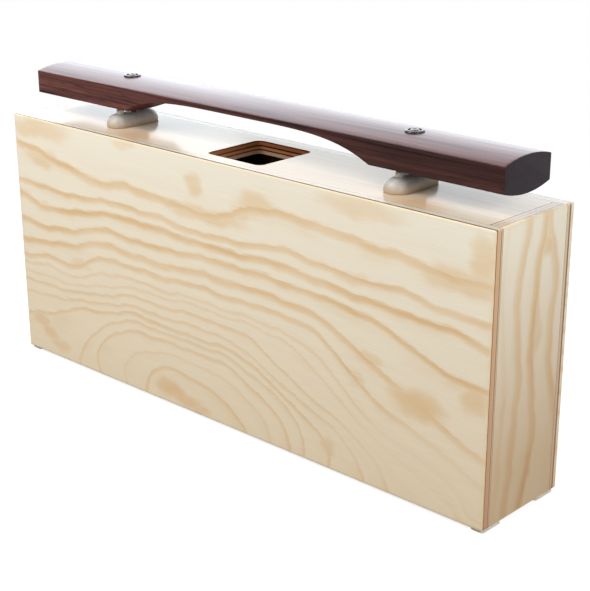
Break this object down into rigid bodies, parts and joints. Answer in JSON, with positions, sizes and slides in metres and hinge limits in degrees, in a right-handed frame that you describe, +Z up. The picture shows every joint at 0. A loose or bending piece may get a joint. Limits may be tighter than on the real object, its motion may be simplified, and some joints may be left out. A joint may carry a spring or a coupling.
{
  "type": "resonator bar",
  "caption": "Rosewood tone bar with an arched underside, held by screws through rubber grommets on soft rests above a closed plywood resonator box with a square sound opening.",
  "frame": {"origin": "middle of the footprint, on the surface the feet stand on", "axes": "+X along the bar to the right, +Y to the back of the box, +Z up"},
  "size_m": [0.56, 0.1, 0.2866],
  "materials": {
    "pine_plywood": "gloss",
    "rosewood": "satin",
    "grey_moulding": "satin",
    "soft_stud": "matte",
    "black_rubber": "matte",
    "nickelled_steel": "polished",
    "foot_pad": "matte"
  },
  "bodies": {
    "resonator": {"front_panel": "pine_plywood", "back_panel": "pine_plywood", "left_end_panel": "pine_plywood", "right_end_panel": "pine_plywood", "top_panel": "pine_plywood", "bottom_panel": "pine_plywood", "foot_front_left": "foot_pad", "foot_front_right": "foot_pad", "foot_back_left": "foot_pad", "foot_back_right": "foot_pad", "rest_left": "grey_moulding", "rest_right": "grey_moulding", "stud_left_front": "soft_stud", "stud_left_back": "soft_stud", "stud_right_front": "soft_stud", "stud_right_back": "soft_stud", "screw_left": "nickelled_steel", "screw_right": "nickelled_steel"},
    "bar": {"sound_bar": "rosewood", "grommet_left": "black_rubber", "grommet_right": "black_rubber", "washer_left": "nickelled_steel", "washer_right": "nickelled_steel"}
  },
  "joints": [
    {"name": "bar_float", "type": "slide", "parent": "resonator", "child": "bar", "axis": [0, 0, 1], "range_m": [-0.0012, 0.0004], "stiffness_N_per_m": 8000, "springref_m": 0.00041, "deforming": ["stud_left_front", "stud_left_back", "stud_right_front", "stud_right_back"]}
  ]
}
